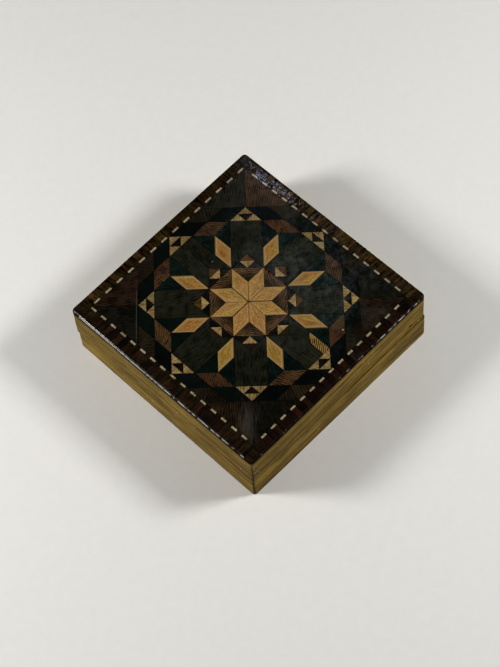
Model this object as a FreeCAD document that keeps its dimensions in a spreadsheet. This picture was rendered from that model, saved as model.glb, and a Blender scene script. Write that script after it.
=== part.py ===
import FreeCAD, Part
import math
import os
import Sketcher
from FreeCAD import Vector

# Square wooden trick box with a star parquetry lid.
# The lid turns on a screw hidden in the front corner, between a pivot block in the lid and one in the base.
# A headed pin in the right corner of the lid drops into the base and locks it, and slips back when the box
# is turned over.
# X runs along the front from the front corner to the right corner, Y along the left side, Z up.
# The origin is the middle of the underside. Lengths are millimetres and angles are degrees.

SIZES = (
    ("side", 76, "outer side of the square box"),
    ("height", 23, "height of the closed box"),
    ("parting_height", 10, "height of the base, where the lid parts from it"),
    ("parting_gap", 0.12, "running gap between the base and the lid"),
    ("corner_radius", 1.2, "worn rounding of the upright corners"),
    ("wall", 5, "thickness of the mitred walls"),
    ("rebate", 2.5, "how far the boards are let into the walls"),
    ("bottom_board", 3, "thickness of the bottom board"),
    ("lid_board", 3, "thickness of the board under the parquetry"),
    ("seat_gap", 0.04, "glue gap of boards and blocks against their seats"),
    ("press_gap", 0.01, "radial gap of pieces that are driven in tight"),
    ("block", 14, "side of the pivot, lock and keeper blocks"),
    ("corner_block", 8, "leg of the three-cornered glue blocks"),
    ("pivot_inset", 4.5, "pivot axis from the inner faces at the front corner"),
    ("lid_turn", 0.45, "angle at which the lid stands on the base"),
    ("swing", 120, "angle of the lid from square to fully open"),
    ("screw_shank", 4, "diameter of the pivot screw"),
    ("screw_head", 7, "diameter of the pivot screw's head"),
    ("screw_head_height", 2, "height of the pivot screw's head"),
    ("screw_slot", 1, "width and depth of the driver slot"),
    ("screw_point", 1.5, "length of the pivot screw's point"),
    ("washer_width", 7.6, "diameter of the washer under the head"),
    ("washer_height", 0.5, "thickness of the washer"),
    ("head_gap", 0.3, "gap round the washer and round the lock pin's head"),
    ("running_gap", 0.05, "gap of the lid's pivot block on the screw"),
    ("head_room", 0.83, "room between the pivot screw's head and the lid's board"),
    ("hole_floor", 1, "wood left under the blind holes of the base"),
    ("stop_pin", 2.5, "diameter of the stop pin"),
    ("stop_radius", 6.2, "stop pin from the pivot axis"),
    ("stop_rise", 3, "how far the stop pin stands above the base"),
    ("stop_gap", 0.15, "gap of the stop pin in its arc groove"),
    ("lock_shank", 4, "diameter of the lock pin"),
    ("lock_head", 6.4, "diameter of the lock pin's head"),
    ("lock_head_height", 1.5, "height of the lock pin's head"),
    ("lock_bevel", 0.5, "bevel at the foot of the lock pin"),
    ("lock_play", 0.2, "spare travel of the lock pin at either end"),
    ("slide_gap", 0.1, "radial gap of the lock pin in its bore"),
    ("keeper_play", 0.6, "gap of the lock pin in the keeper"),
    ("drop", 4, "travel of the lock pin"),
    ("brad", 0.8, "diameter of the brad through the front wall"),
    ("brad_length", 9, "length of that brad"),
    ("brad_sink", 0.15, "how deep its end is set below the wall's face"),
    ("brad_inset", 6.8, "brad from the box's right face"),
    ("brad_rise", 2.2, "brad above the base"),
    ("veneer", 1.5, "thickness of the parquetry"),
    ("border_front", 3.1, "width of the border of blocks along the front"),
    ("border_right", 3.75, "width of the border along the right"),
    ("border_back", 3.35, "width of the border along the back"),
    ("border_left", 4.35, "width of the border along the left"),
    ("glue_line", 0.12, "joint between pieces of parquetry"),
    ("stringing", 0.85, "width of the dashed line"),
    ("edge_radius", 0.8, "rounding of the lid's top edge"),
    ("dashes_front", 15, "light dashes along the front"),
    ("dashes_right", 15, "light dashes along the right"),
    ("dashes_back", 14, "light dashes along the back"),
    ("dashes_left", 16, "light dashes along the left"),
    ("lead_front", 3.6, "black before the front's first light dash"),
    ("lead_right", 3.4, "black before the right's first light dash"),
    ("lead_back", 0.75, "black before the back's first light dash"),
    ("lead_left", 0.8, "black before the left's first light dash"),
    ("tail_front", 3.45, "black after the front's last light dash"),
    ("tail_right", 3.2, "black after the right's last light dash"),
    ("tail_back", 1.15, "black after the back's last light dash"),
    ("tail_left", 2.35, "black after the left's last light dash"),
)
SIDES = ("front", "right", "back", "left")

# Places that several pieces share, as expressions of the sizes.
OUTER = "(sizes.side / 2)"
INNER = "(sizes.side / 2 - sizes.wall)"
SEAT = "(sizes.side / 2 - sizes.wall + sizes.rebate)"
PIVOT = "(sizes.side / 2 - sizes.wall - sizes.pivot_inset)"
LOCK = "(sizes.side / 2 - sizes.wall - sizes.block / 2)"
LID_FOOT = "(sizes.parting_height + sizes.parting_gap)"
BOARD_TOP = "(sizes.height - sizes.veneer)"
BOARD_FOOT = "(sizes.height - sizes.veneer - sizes.lid_board)"
LID_BLOCK = f"({BOARD_FOOT} - {LID_FOOT} - sizes.seat_gap)"
BASE_FLOOR = "(sizes.bottom_board + sizes.seat_gap)"
BASE_BLOCK = f"(sizes.parting_height - {BASE_FLOOR})"
HOLE_FOOT = f"({BASE_FLOOR} + sizes.hole_floor)"
HEAD_TOP = f"({BOARD_FOOT} - sizes.head_room)"
HEAD_FOOT = f"({HEAD_TOP} - sizes.screw_head_height)"
WASHER_FOOT = f"({HEAD_FOOT} - sizes.washer_height)"
WASHER_SEAT = f"({WASHER_FOOT} - sizes.running_gap)"
LOCK_HEAD_FOOT = f"({BOARD_FOOT} - sizes.lock_play - sizes.lock_head_height)"
LOCK_FOOT = f"({LID_FOOT} + sizes.lock_play)"
LOCK_FLOOR = f"({LOCK_HEAD_FOOT} - sizes.drop - sizes.lock_play)"
BRAD_X = f"({OUTER} - sizes.brad_inset)"
BRAD_HEIGHT = "(sizes.parting_height + sizes.brad_rise)"

# The parquetry is drawn in modules, the edge of the star's rhombi. It fills the field inside the stringing,
# which is a little longer than wide and off the middle of the lid, as it came out by hand.
# HALF is half the diagonal of a square of one module.
HALF = math.sqrt(0.5)
TIP = 1 + HALF
SHOULDER = 2 + HALF
BEND = 2 + 2 * HALF
PANEL_END = 2 + 3 * HALF
EDGE = 2 + 4 * HALF
PATCH_START = 2.93
PATCH_WIDTH = 0.375
FIELD_X = "(sizes.side - sizes.border_left - sizes.border_right - 2 * sizes.stringing)"
FIELD_Y = "(sizes.side - sizes.border_front - sizes.border_back - 2 * sizes.stringing)"
MODULE_X = f"({FIELD_X} / {2 * EDGE:.9f})"
MODULE_Y = f"({FIELD_Y} / {2 * EDGE:.9f})"
STAR_X = "((sizes.border_left - sizes.border_right) / 2)"
STAR_Y = "((sizes.border_front - sizes.border_back) / 2)"

doc = FreeCAD.newDocument("puzzle_box")
sizes = doc.addObject("Spreadsheet::Sheet", "sizes")
for row, (name, value, note) in enumerate(SIZES, start=1):
    sizes.set(f"A{row}", note)
    sizes.set(f"B{row}", str(value))
    sizes.setAlias(f"B{row}", name)
doc.recompute()
pieces = []


def value_of(expression):
    return float(sizes.evalExpression(expression))


def new_body(name):
    """A piece of the box, or a group of like pieces that stay separate solids."""
    body = doc.addObject("PartDesign::Body", name)
    body.Label = name
    body.AllowCompound = True
    pieces.append(body)
    return body


def turn_with_lid(body, side=0, x="0", y="0"):
    """Stand a piece on the lid, on one of its four sides, with its own middle at x, y."""
    cosine = "cos(sizes.lid_turn * 1deg)"
    sine = "sin(sizes.lid_turn * 1deg)"
    from_pivot_x = f"({x} + {PIVOT})"
    from_pivot_y = f"({y} + {PIVOT})"
    body.setExpression("Placement.Base.x", f"{from_pivot_x} * {cosine} - {from_pivot_y} * {sine} - {PIVOT}")
    body.setExpression("Placement.Base.y", f"{from_pivot_x} * {sine} + {from_pivot_y} * {cosine} - {PIVOT}")
    body.setExpression("Placement.Rotation.Angle", f"sizes.lid_turn + {90 * side}")


def stand_at_pivot(body, angle="0"):
    """Stand a piece drawn about the pivot axis at the front corner."""
    body.setExpression("Placement.Base.x", f"-{PIVOT}")
    body.setExpression("Placement.Base.y", f"-{PIVOT}")
    body.setExpression("Placement.Rotation.Angle", angle)


def origin_of(body, role):
    return next(item for item in body.Origin.OriginFeatures if item.Role == role)


def new_sketch(body, offset="0", plane="XY_Plane"):
    sketch = body.newObject("Sketcher::SketchObject", f"{body.Name}_sketch")
    sketch.AttachmentSupport = (origin_of(body, plane), [""])
    sketch.MapMode = "FlatFace"
    sketch.setExpression("AttachmentOffset.Base.z", offset)
    return sketch


def hold(sketch, kind, *place, to):
    """Add one dimension and bind it to an expression."""
    number = sketch.addConstraint(Sketcher.Constraint(kind, *place, value_of(to)))
    sketch.setExpression(f"Constraints[{number}]", to)


def hold_point(sketch, edge, point, x, y):
    hold(sketch, "DistanceX", -1, 1, edge, point, to=x)
    hold(sketch, "DistanceY", -1, 1, edge, point, to=y)


def draw_outline(sketch, corners):
    """Close a loop, anticlockwise. A third value at a corner is the sweep of the arc that leaves it."""
    first = sketch.GeometryCount
    spots = [Vector(value_of(corner[0]), value_of(corner[1]), 0) for corner in corners]
    for corner, start, end in zip(corners, spots, spots[1:] + spots[:1]):
        if len(corner) == 2:
            sketch.addGeometry(Part.LineSegment(start, end), False)
            continue
        half_sweep = math.radians(corner[2]) / 2
        chord = end - start
        middle = (start + end) / 2 + Vector(-chord.y, chord.x, 0) / (2 * math.tan(half_sweep))
        begin = math.atan2(start.y - middle.y, start.x - middle.x)
        circle = Part.Circle(middle, Vector(0, 0, 1), (start - middle).Length)
        arc = sketch.addGeometry(Part.ArcOfCircle(circle, begin, begin + 2 * half_sweep), False)
        sketch.addConstraint(Sketcher.Constraint("Angle", arc, 2 * half_sweep))
    for index, corner in enumerate(corners):
        following = first + (index + 1) % len(corners)
        sketch.addConstraint(Sketcher.Constraint("Coincident", first + index, 2, following, 1))
        hold_point(sketch, first + index, 1, corner[0], corner[1])


def draw_circle(sketch, x, y, diameter):
    middle = Vector(value_of(x), value_of(y), 0)
    circle = sketch.addGeometry(Part.Circle(middle, Vector(0, 0, 1), value_of(diameter) / 2), False)
    hold_point(sketch, circle, 3, x, y)
    hold(sketch, "Diameter", circle, to=diameter)


def box_corners(left, right, near, far):
    return [(left, near), (right, near), (right, far), (left, far)]


def extrude(body, kind, sketch, length, against=False):
    """A Pad goes with its sketch's normal and a Pocket against it, or the other way."""
    feature = body.newObject(f"PartDesign::{kind}", f"{body.Name}_{kind.lower()}")
    feature.Profile = sketch
    feature.Reversed = against
    feature.setExpression("Length", length)
    return feature


def repeat_round(body, feature, count):
    pattern = body.newObject("PartDesign::PolarPattern", f"{body.Name}_round")
    pattern.Originals = [feature]
    pattern.Axis = (origin_of(body, "Z_Axis"), [""])
    pattern.Occurrences = count
    body.Tip = pattern
    return pattern


def repeat_along(body, feature, count, pitch):
    pattern = body.newObject("PartDesign::LinearPattern", f"{body.Name}_row")
    pattern.Originals = [feature]
    pattern.Direction = (origin_of(body, "X_Axis"), [""])
    pattern.setExpression("Occurrences", count)
    pattern.setExpression("Length", f"{pitch} * ({count} - 1)")
    body.Tip = pattern


def dress(body, kind, size_name, size, chosen):
    """Fillet or chamfer the edges that the test picks."""
    doc.recompute()
    base = body.Tip
    edges = [f"Edge{number}" for number, edge in enumerate(base.Shape.Edges, start=1) if chosen(edge)]
    feature = body.newObject(f"PartDesign::{kind}", f"{body.Name}_{kind.lower()}")
    feature.Base = (base, edges)
    feature.setExpression(size_name, size)
    return feature


def make_wall(name, foot, height, rebate_foot, rebate_height):
    """A wall along the front: mitred ends, half of the worn corner at each, and a rebate for a board."""
    body = new_body(name)
    straight = f"({OUTER} - sizes.corner_radius)"
    mitre = f"({OUTER} - {1 - HALF:.9f} * sizes.corner_radius)"
    sketch = new_sketch(body, foot)
    draw_outline(sketch, [
        (f"-{straight}", f"-{OUTER}"), (straight, f"-{OUTER}", 45), (mitre, f"-{mitre}"),
        (INNER, f"-{INNER}"), (f"-{INNER}", f"-{INNER}"), (f"-{mitre}", f"-{mitre}", 45),
    ])
    extrude(body, "Pad", sketch, height)
    sketch = new_sketch(body, rebate_foot)
    draw_outline(sketch, box_corners(f"-{OUTER}", OUTER, f"-{SEAT}", "0"))
    extrude(body, "Pocket", sketch, rebate_height, against=True)
    return body


def make_board(name, foot, height):
    body = new_body(name)
    edge = f"({SEAT} - sizes.seat_gap)"
    sketch = new_sketch(body, foot)
    draw_outline(sketch, box_corners(f"-{edge}", edge, f"-{edge}", edge))
    extrude(body, "Pad", sketch, height)
    return body


def make_glue_blocks(name, foot, height):
    """The two three-cornered blocks in the back corners."""
    body = new_body(name)
    sketch = new_sketch(body, foot)
    corner = f"({INNER} - sizes.seat_gap)"
    leg = f"({corner} - sizes.corner_block)"
    draw_outline(sketch, [(corner, leg), (corner, corner), (leg, corner)])
    draw_outline(sketch, [(f"-{corner}", leg), (f"-{leg}", corner), (f"-{corner}", corner)])
    extrude(body, "Pad", sketch, height)
    return body


def make_corner_block(name, x_span, y_span, foot, height):
    """A square block that fills the corner between two walls."""
    body = new_body(name)
    sketch = new_sketch(body, foot)
    draw_outline(sketch, box_corners(*x_span, *y_span))
    extrude(body, "Pad", sketch, height)
    return body


def bore(body, x, y, diameter, foot, height):
    """A round hole that goes up from foot."""
    sketch = new_sketch(body, foot)
    draw_circle(sketch, x, y, diameter)
    extrude(body, "Pocket", sketch, height, against=True)


def bore_for_brad(body):
    """The brad's hole, from the lid's front face inwards."""
    sketch = new_sketch(body, OUTER, "XZ_Plane")
    draw_circle(sketch, BRAD_X, BRAD_HEIGHT, "sizes.brad + 2 * sizes.press_gap")
    extrude(body, "Pocket", sketch, "sizes.brad_sink + sizes.brad_length + sizes.press_gap")


def make_base():
    for number, side in enumerate(SIDES):
        wall = make_wall(f"base_wall_{side}", "0", "sizes.parting_height", "0", BASE_FLOOR)
        wall.setExpression("Placement.Rotation.Angle", f"{90 * number}")
    make_board("base_bottom", "0", "sizes.bottom_board")
    make_glue_blocks("base_glue_blocks", BASE_FLOOR, BASE_BLOCK)

    near = f"({INNER} - sizes.seat_gap)"
    far = f"({near} - sizes.block)"
    keeper = make_corner_block("keeper_block", (far, near), (f"-{near}", f"-{far}"), BASE_FLOOR, BASE_BLOCK)
    sketch = new_sketch(keeper, BASE_FLOOR)
    half = "(sizes.lock_shank / 2 + sizes.keeper_play)"
    mortise = (f"{LOCK} - {half}", f"{LOCK} + {half}", f"-{LOCK} - {half}", f"-{LOCK} + {half}")
    draw_outline(sketch, box_corners(*mortise))
    extrude(keeper, "Pocket", sketch, BASE_BLOCK, against=True)


def pivot_block_span():
    """Both sides of the pivot blocks, from the pivot axis."""
    low = "-(sizes.pivot_inset - sizes.seat_gap)"
    return low, f"{low} + sizes.block"


def make_pivot():
    """The base's pivot block, with the screw, the washer and the stop pin that stand in it."""
    span = pivot_block_span()
    closed_angle = "((45 + sizes.swing / 2) * 1deg)"
    stop_x = f"sizes.stop_radius * cos{closed_angle}"
    stop_y = f"sizes.stop_radius * sin{closed_angle}"
    hole_height = f"sizes.parting_height - {HOLE_FOOT}"
    block = make_corner_block("base_pivot_block", span, span, BASE_FLOOR, BASE_BLOCK)
    bore(block, "0", "0", "sizes.screw_shank + 2 * sizes.press_gap", HOLE_FOOT, hole_height)
    bore(block, stop_x, stop_y, "sizes.stop_pin + 2 * sizes.press_gap", HOLE_FOOT, hole_height)

    screw = new_body("pivot_screw")
    sketch = new_sketch(screw, plane="XZ_Plane")
    shank = "sizes.screw_shank / 2"
    head = "sizes.screw_head / 2"
    draw_outline(sketch, [
        ("0", HOLE_FOOT), (shank, f"{HOLE_FOOT} + sizes.screw_point"), (shank, HEAD_FOOT),
        (head, HEAD_FOOT), (head, HEAD_TOP), ("0", HEAD_TOP),
    ])
    lathe = screw.newObject("PartDesign::Revolution", "pivot_screw_lathe")
    lathe.Profile = sketch
    lathe.ReferenceAxis = (origin_of(screw, "Z_Axis"), [""])
    lathe.Angle = 360
    sketch = new_sketch(screw, HEAD_TOP)
    draw_outline(sketch, box_corners(f"-{head}", head, "-sizes.screw_slot / 2", "sizes.screw_slot / 2"))
    extrude(screw, "Pocket", sketch, "sizes.screw_slot")

    washer = new_body("pivot_washer")
    sketch = new_sketch(washer, WASHER_FOOT)
    draw_circle(sketch, "0", "0", "sizes.washer_width")
    draw_circle(sketch, "0", "0", "sizes.screw_shank + 2 * sizes.press_gap")
    extrude(washer, "Pad", sketch, "sizes.washer_height")

    stop = new_body("stop_pin")
    sketch = new_sketch(stop, HOLE_FOOT)
    draw_circle(sketch, stop_x, stop_y, "sizes.stop_pin")
    extrude(stop, "Pad", sketch, f"{hole_height} + sizes.stop_rise")
    for body in (block, screw, washer, stop):
        stand_at_pivot(body)


def make_lid_frame():
    wall_height = f"{BOARD_TOP} - {LID_FOOT}"
    rebate_foot = f"{BOARD_FOOT} - sizes.seat_gap"
    rebate_height = "sizes.lid_board + sizes.seat_gap"
    for number, side in enumerate(SIDES):
        wall = make_wall(f"lid_wall_{side}", LID_FOOT, wall_height, rebate_foot, rebate_height)
        if side == "front":
            bore_for_brad(wall)
        turn_with_lid(wall, number)
    turn_with_lid(make_board("lid_board", BOARD_FOOT, "sizes.lid_board"))
    turn_with_lid(make_glue_blocks("lid_glue_blocks", LID_FOOT, LID_BLOCK))


def make_lid_pivot_block():
    """The block that turns on the screw, with a seat for the washer and the arc groove of the stop pin."""
    span = pivot_block_span()
    block = make_corner_block("lid_pivot_block", span, span, LID_FOOT, LID_BLOCK)
    bore(block, "0", "0", "sizes.screw_shank + 2 * sizes.running_gap", LID_FOOT, LID_BLOCK)
    seat_width = "sizes.washer_width + 2 * sizes.head_gap"
    bore(block, "0", "0", seat_width, WASHER_SEAT, f"{BOARD_FOOT} - {WASHER_SEAT}")

    half = "(sizes.stop_pin / 2 + sizes.stop_gap)"
    groove_top = "sizes.parting_height + sizes.stop_rise + sizes.stop_gap"
    sketch = new_sketch(block, plane="XZ_Plane")
    sketch.AttachmentOffset = FreeCAD.Placement(Vector(), FreeCAD.Rotation(Vector(0, 1, 0), 45))
    inside = f"sizes.stop_radius - {half}"
    outside = f"sizes.stop_radius + {half}"
    draw_outline(sketch, box_corners(inside, outside, LID_FOOT, groove_top))
    groove = block.newObject("PartDesign::Groove", "lid_pivot_block_groove")
    groove.Profile = sketch
    groove.ReferenceAxis = (origin_of(block, "Z_Axis"), [""])
    groove.Midplane = True
    groove.setExpression("Angle", f"sizes.swing * 1deg + 2 * asin({half} / sizes.stop_radius)")
    stand_at_pivot(block, "sizes.lid_turn")


def make_lock():
    """The lock block, its headed drop pin and the brad that holds the block to the front wall."""
    near = f"({INNER} - sizes.seat_gap)"
    far = f"({near} - sizes.block)"
    block = make_corner_block("lid_lock_block", (far, near), (f"-{near}", f"-{far}"), LID_FOOT, LID_BLOCK)
    bore(block, LOCK, f"-{LOCK}", "sizes.lock_shank + 2 * sizes.slide_gap", LID_FOOT, LID_BLOCK)
    well_height = f"{BOARD_FOOT} - {LOCK_FLOOR}"
    bore(block, LOCK, f"-{LOCK}", "sizes.lock_head + 2 * sizes.head_gap", LOCK_FLOOR, well_height)
    bore_for_brad(block)

    pin = new_body("lock_pin")
    sketch = new_sketch(pin, LOCK_FOOT)
    draw_circle(sketch, LOCK, f"-{LOCK}", "sizes.lock_shank")
    extrude(pin, "Pad", sketch, f"{LOCK_HEAD_FOOT} - {LOCK_FOOT}")
    sketch = new_sketch(pin, LOCK_HEAD_FOOT)
    draw_circle(sketch, LOCK, f"-{LOCK}", "sizes.lock_head")
    extrude(pin, "Pad", sketch, "sizes.lock_head_height")
    foot = value_of(LOCK_FOOT)
    dress(pin, "Chamfer", "Size", "sizes.lock_bevel", lambda edge: abs(edge.CenterOfMass.z - foot) < 1e-6)

    brad = new_body("lock_block_brad")
    sketch = new_sketch(brad, f"{OUTER} - sizes.brad_sink", "XZ_Plane")
    draw_circle(sketch, BRAD_X, BRAD_HEIGHT, "sizes.brad")
    extrude(brad, "Pad", sketch, "sizes.brad_length", against=True)
    for body in (block, pin, brad):
        turn_with_lid(body)


def parquet_outline(corners, draw_in=0.5):
    """A piece's corners, given anticlockwise in modules, drawn in by a share of the glue line."""
    outline = []
    for index, (x, y) in enumerate(corners):
        before = corners[index - 1]
        after = corners[(index + 1) % len(corners)]
        arriving = Vector(x - before[0], y - before[1], 0).normalize()
        leaving = Vector(after[0] - x, after[1] - y, 0).normalize()
        # Each side moves to its left, so the corner goes to where the two moved sides meet.
        shift = (Vector(-arriving.y, arriving.x, 0) + Vector(-leaving.y, leaving.x, 0)) * draw_in
        shift = shift / (1 + arriving.dot(leaving))
        outline.append((
            f"{x:.9f} * {MODULE_X} + {shift.x:.9f} * sizes.glue_line",
            f"{y:.9f} * {MODULE_Y} + {shift.y:.9f} * sizes.glue_line",
        ))
    return outline


def mirrored(corners):
    """The same piece on the other side of the Y axis, still anticlockwise."""
    return [(-x, y) for x, y in reversed(corners)]


def turned(corners, spoke, count):
    """The same piece in a later spoke of the pattern."""
    angle = 2 * math.pi * spoke / count
    cosine, sine = math.cos(angle), math.sin(angle)
    return [(x * cosine - y * sine, x * sine + y * cosine) for x, y in corners]


def make_parquet(name, outlines, count=8):
    """Pieces of one wood, drawn in half of the spokes and turned about the star's middle for the rest."""
    body = new_body(name)
    sketch = new_sketch(body, BOARD_TOP)
    for spoke in range(count // 2):
        for corners in outlines:
            draw_outline(sketch, parquet_outline(turned(corners, spoke, count)))
    repeat_round(body, extrude(body, "Pad", sketch, "sizes.veneer"), 2)
    turn_with_lid(body, x=STAR_X, y=STAR_Y)
    return body


def make_star():
    make_parquet("star_points", [[(0, 0), (HALF, HALF), (HALF, TIP), (0, 1)]])
    make_parquet("star_notches", [[(0, 1), (HALF, TIP), (-HALF, TIP)]])
    outer_point = [(HALF, TIP), (2 * HALF, 1 + 2 * HALF), (2 * HALF, BEND), (HALF, SHOULDER)]
    make_parquet("outer_points", [outer_point])

    square_middle = TIP + HALF / 2
    square_top = TIP + HALF
    square_left = (-HALF / 2, square_middle)
    square_right = (HALF / 2, square_middle)
    make_parquet("small_square_light", [[(0, TIP), square_right, square_left]])
    make_parquet("small_square_brown", [[square_left, square_right, (0, square_top)]])
    square_flank = [(0, TIP), (HALF, TIP), square_right]
    make_parquet("square_flanks", [square_flank, mirrored(square_flank)])

    panel = [(-HALF, TIP), (0, square_top), (HALF, TIP), (HALF, PANEL_END), (-HALF, PANEL_END)]
    panels = make_parquet("panels", [panel])
    flank = [(HALF, SHOULDER), (2 * HALF, BEND), (HALF, PANEL_END)]
    make_parquet("flank_triangles", [flank, mirrored(flank)])
    make_patch(panels)


def make_patch(panels):
    """A striped piece let into the outer right of the front panel, with one slanting end."""
    inside = HALF - PATCH_WIDTH
    patch = [
        (inside, -PANEL_END), (HALF, -PANEL_END), (HALF, -PATCH_START), (inside, -PATCH_START - PATCH_WIDTH),
    ]
    sketch = new_sketch(panels, BOARD_TOP)
    draw_outline(sketch, parquet_outline(patch, draw_in=-0.5))
    extrude(panels, "Pocket", sketch, "sizes.veneer", against=True)

    body = new_body("panel_patch")
    sketch = new_sketch(body, BOARD_TOP)
    draw_outline(sketch, parquet_outline(patch))
    extrude(body, "Pad", sketch, "sizes.veneer")
    turn_with_lid(body, x=STAR_X, y=STAR_Y)


def make_ring():
    left, right, apex = (-HALF, PANEL_END), (HALF, PANEL_END), (0, EDGE)
    foot = (0, PANEL_END)
    left_middle = (-HALF / 2, PANEL_END + HALF / 2)
    right_middle = (HALF / 2, PANEL_END + HALF / 2)
    lights = [[left, foot, left_middle], [foot, right, right_middle], [left_middle, right_middle, apex]]
    make_parquet("edge_triangles_light", lights)
    make_parquet("edge_triangles_dark", [[foot, right_middle, left_middle]])

    ring = [(2 * HALF, BEND), (1 + 2 * HALF, BEND), (1 + HALF, PANEL_END), right]
    make_parquet("ring_rhombi", [ring])
    dark = [right, (1 + HALF, PANEL_END), (1, EDGE), apex]
    make_parquet("dark_rhombi", [dark, mirrored(dark)])
    make_parquet("gap_rhombi", [[(1 + HALF, PANEL_END), (2 + HALF, PANEL_END), (2, EDGE), (1, EDGE)]])

    corner = (EDGE, EDGE)
    middle = (BEND, BEND)
    make_parquet("corner_triangles_red", [[middle, (EDGE, 2), corner]], count=4)
    make_parquet("corner_triangles_olive", [[(2, EDGE), middle, corner]], count=4)


def lay_block(body, profile, start, end):
    """One block of the given cross-section, laid along a side."""
    sketch = new_sketch(body, f"{start} + sizes.glue_line / 2", "YZ_Plane")
    draw_outline(sketch, profile)
    return extrude(body, "Pad", sketch, f"{end} - {start} - sizes.glue_line")


def make_row(number, name, woods, profile, past_corner):
    """Blocks of two woods in turn along one side, with the second wood at both ends."""
    side = SIDES[number]
    before = f"sizes.border_{SIDES[number - 1]}"
    after = f"sizes.border_{SIDES[(number + 1) % 4]}"
    count = f"sizes.dashes_{side}"
    lead = f"sizes.lead_{side}"
    dashes_end = f"({OUTER} - {after} - sizes.stringing - sizes.tail_{side})"
    row_start = f"({before} - {OUTER})"
    first = f"({row_start} + {lead})"
    dash = f"(({dashes_end} - {first}) / (2 * {count} - 1))"
    second = f"({first} + {dash})"

    light, dark = (new_body(f"{name}_{side}_{wood}") for wood in woods)
    repeat_along(light, lay_block(light, profile, first, second), count, f"2 * {dash}")
    third = f"({second} + {dash})"
    repeat_along(dark, lay_block(dark, profile, second, third), f"({count} - 1)", f"2 * {dash}")
    lay_block(dark, profile, row_start, first)
    lay_block(dark, profile, dashes_end, f"({OUTER} - {after} - {past_corner})")
    for body in (light, dark):
        turn_with_lid(body, number)


def make_stringing(number):
    """One strip of light and black dashes. Each strip butts against the next one at the corner."""
    border = f"sizes.border_{SIDES[number]}"
    near = f"{border} - {OUTER} + sizes.glue_line / 2"
    far = f"{border} - {OUTER} + sizes.stringing - sizes.glue_line / 2"
    profile = box_corners(near, far, BOARD_TOP, "sizes.height")
    make_row(number, "stringing", ("light", "black"), profile, "sizes.stringing")


def make_border(number):
    """One side's blocks with the lid's rounded edge, brown beside the light dashes."""
    inside = f"sizes.border_{SIDES[number]} - {OUTER} - sizes.glue_line / 2"
    profile = [
        (f"-{OUTER}", BOARD_TOP), (inside, BOARD_TOP), (inside, "sizes.height"),
        (f"sizes.edge_radius - {OUTER}", "sizes.height", 90),
        (f"-{OUTER}", "sizes.height - sizes.edge_radius"),
    ]
    make_row(number, "border", ("brown", "black"), profile, "0")


def quarter_turned(corner, quarters):
    """A corner of an outline, turned about the middle of the lid by quarter turns."""
    x, y, *sweep = corner
    for _ in range(quarters):
        x, y = f"-({y})", x
    return (x, y, *sweep)


def make_border_corners():
    """Four blocks with the worn upright corner and the rounded top edge."""
    body = new_body("border_corners")
    sketch = new_sketch(body, BOARD_TOP)
    straight = f"({OUTER} - sizes.corner_radius)"
    for number, side in enumerate(SIDES):
        inside_x = f"({OUTER} - sizes.border_{SIDES[(number + 1) % 4]} + sizes.glue_line / 2)"
        inside_y = f"({OUTER} - sizes.border_{side} + sizes.glue_line / 2)"
        corners = [
            (inside_x, f"-{OUTER}"), (straight, f"-{OUTER}", 90), (OUTER, f"-{straight}"),
            (OUTER, f"-{inside_y}"), (inside_x, f"-{inside_y}"),
        ]
        draw_outline(sketch, [quarter_turned(corner, number) for corner in corners])
    extrude(body, "Pad", sketch, "sizes.veneer")
    top = value_of("sizes.height")
    rim = value_of(f"{OUTER} - sizes.corner_radius / 2")

    def on_outer_rim(edge):
        middle = edge.CenterOfMass
        return abs(middle.z - top) < 1e-6 and max(abs(middle.x), abs(middle.y)) > rim

    dress(body, "Fillet", "Radius", "sizes.edge_radius", on_outer_rim)
    turn_with_lid(body)


def check_model():
    """Stop if an object failed, or if a cut took nothing away."""
    for item in doc.Objects:
        if {"Invalid", "Error"} & set(item.State):
            raise RuntimeError(f"{item.Name} failed: {item.State}")
        if item.TypeId in ("PartDesign::Pocket", "PartDesign::Groove"):
            if item.Shape.Volume > item.BaseFeature.Shape.Volume - 1e-6:
                raise RuntimeError(f"{item.Name} cuts nothing")
    for body in pieces:
        if body.Shape.isNull() or not body.Shape.isValid():
            raise RuntimeError(f"{body.Label} has no valid shape")


make_base()
make_pivot()
make_lid_frame()
make_lid_pivot_block()
make_lock()
make_star()
make_ring()
for side_number in range(len(SIDES)):
    make_stringing(side_number)
    make_border(side_number)
make_border_corners()
doc.recompute()
check_model()

os.makedirs("parts", exist_ok=True)
for body in pieces:
    body.Shape.exportStep(f"parts/{body.Label}.step")
    print(f"{body.Label}: {len(body.Shape.Solids)} solids, {body.Shape.Volume:.1f} cubic mm")
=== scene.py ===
# %% [markdown]
# # A wooden trick box with a star parquetry lid
# The box is 76 mm square and 23 mm high. Its walls are plain waxed oak, and its lid is a mosaic of small
# pieces of many woods under an old polish. The shapes are exact already, because they come from the CAD
# frame, so this lesson is about finishes: every wood is grown from noise, in real millimetres, and then
# polished and aged.

# %% Load the frame
import math
import bpy
from mathutils import Euler, Matrix, Vector

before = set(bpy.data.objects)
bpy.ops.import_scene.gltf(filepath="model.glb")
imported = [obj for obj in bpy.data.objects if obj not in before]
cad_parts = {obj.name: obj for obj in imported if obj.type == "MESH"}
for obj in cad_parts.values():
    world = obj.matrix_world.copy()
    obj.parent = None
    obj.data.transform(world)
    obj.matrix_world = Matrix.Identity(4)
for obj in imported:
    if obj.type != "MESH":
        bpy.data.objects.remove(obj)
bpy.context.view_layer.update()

MM_PER_M = 1000
print("pieces:", len(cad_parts))

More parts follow.
